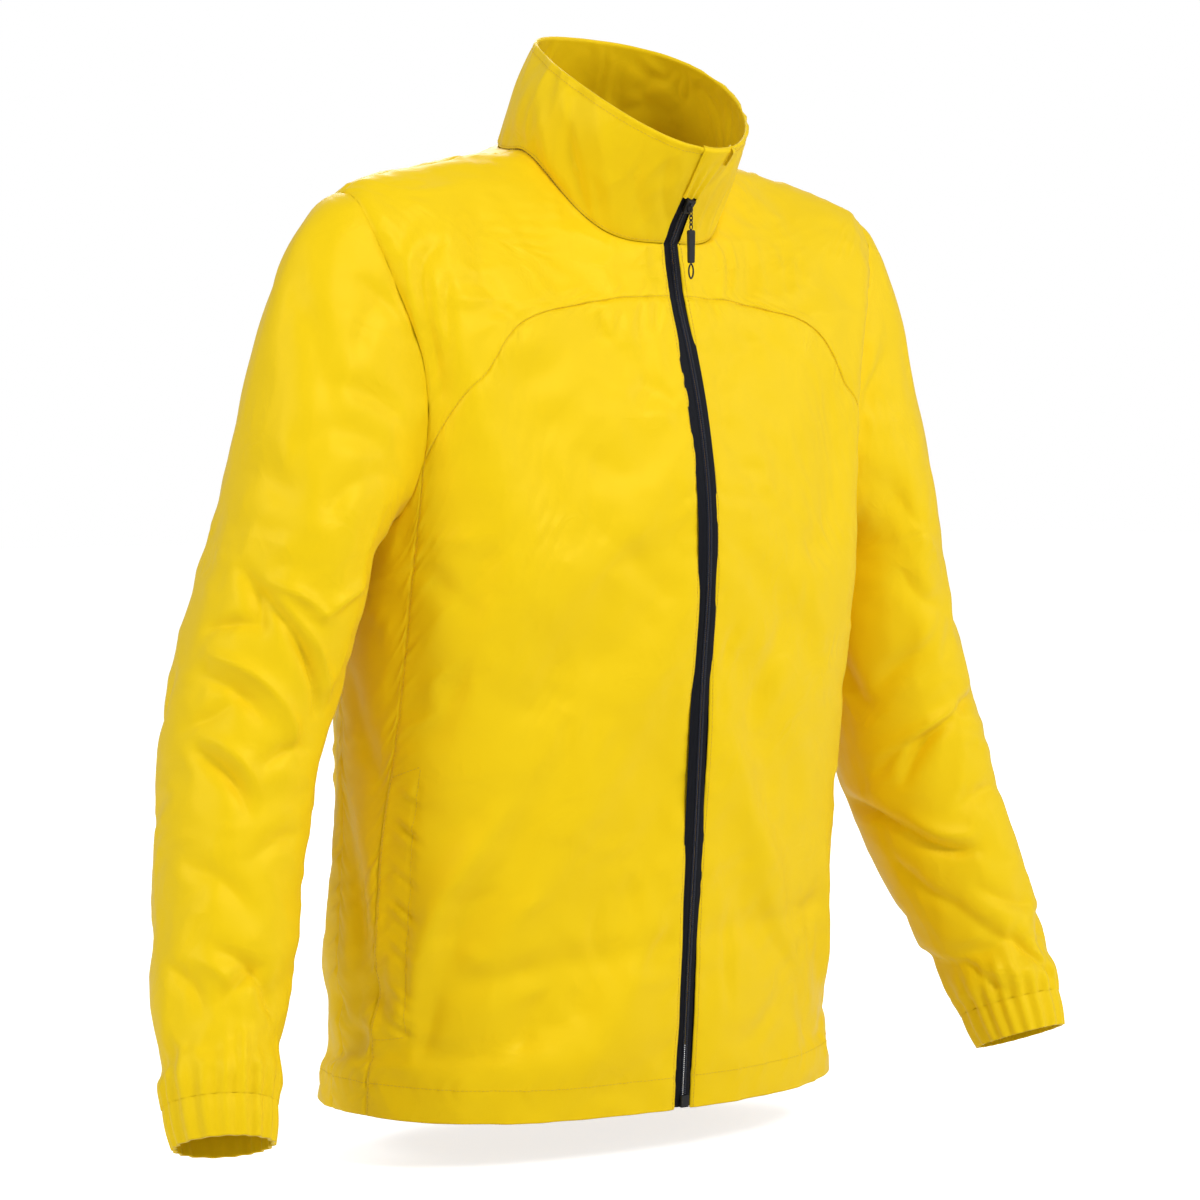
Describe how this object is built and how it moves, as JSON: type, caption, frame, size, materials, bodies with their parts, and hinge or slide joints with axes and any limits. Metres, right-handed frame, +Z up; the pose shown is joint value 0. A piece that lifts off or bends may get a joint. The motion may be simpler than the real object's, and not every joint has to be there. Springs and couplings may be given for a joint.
{
  "type": "windbreaker jacket",
  "caption": "Light windbreaker jacket filled out as worn, hollow, with a stand-up collar, full zip, arched yokes, side seam pockets and elastic cuffs.",
  "frame": {"origin": "on the shoulder line, midway between the two points where the neck meets the shoulders, where the wearer carries it", "axes": "+Z up, the front faces -Y, +X towards the wearer's left"},
  "size_m": [0.8206, 0.2908, 0.7997],
  "materials": {
    "shell": "thin plain woven polyester with a soft sheen",
    "mesh_lining": "warp-knit mesh",
    "zip_tape": "black woven tape with nylon coil",
    "zip_plastic": "moulded black plastic",
    "zip_metal": "dark coated metal",
    "pull_rubber": "matt black rubber"
  },
  "bodies": {
    "jacket": {"front_right": "shell", "front_left": "shell", "front_yoke_right": "shell", "front_yoke_left": "shell", "side_panel_right": "shell", "side_panel_left": "shell", "back": "shell", "sleeve_right": "shell", "sleeve_left": "shell", "cuff_right": "shell", "cuff_left": "shell", "collar": "shell", "zip_garage": "shell", "pocket_facing_right": "shell", "pocket_facing_left": "shell", "neck_lining": "mesh_lining", "zip_tape_right": "zip_tape", "zip_tape_left": "zip_tape", "zip_bottom_box": "zip_plastic", "zip_slider": "zip_metal"},
    "pull": {"pull_link": "zip_metal", "pull_grip": "pull_rubber", "pull_loop": "zip_plastic"}
  },
  "joints": [
    {"name": "pull_swing", "type": "hinge", "parent": "jacket", "child": "pull", "pos_m": [0, -0.10086, -0.0452], "axis": [-1, 0, 0], "range_deg": [-6, 115]}
  ]
}
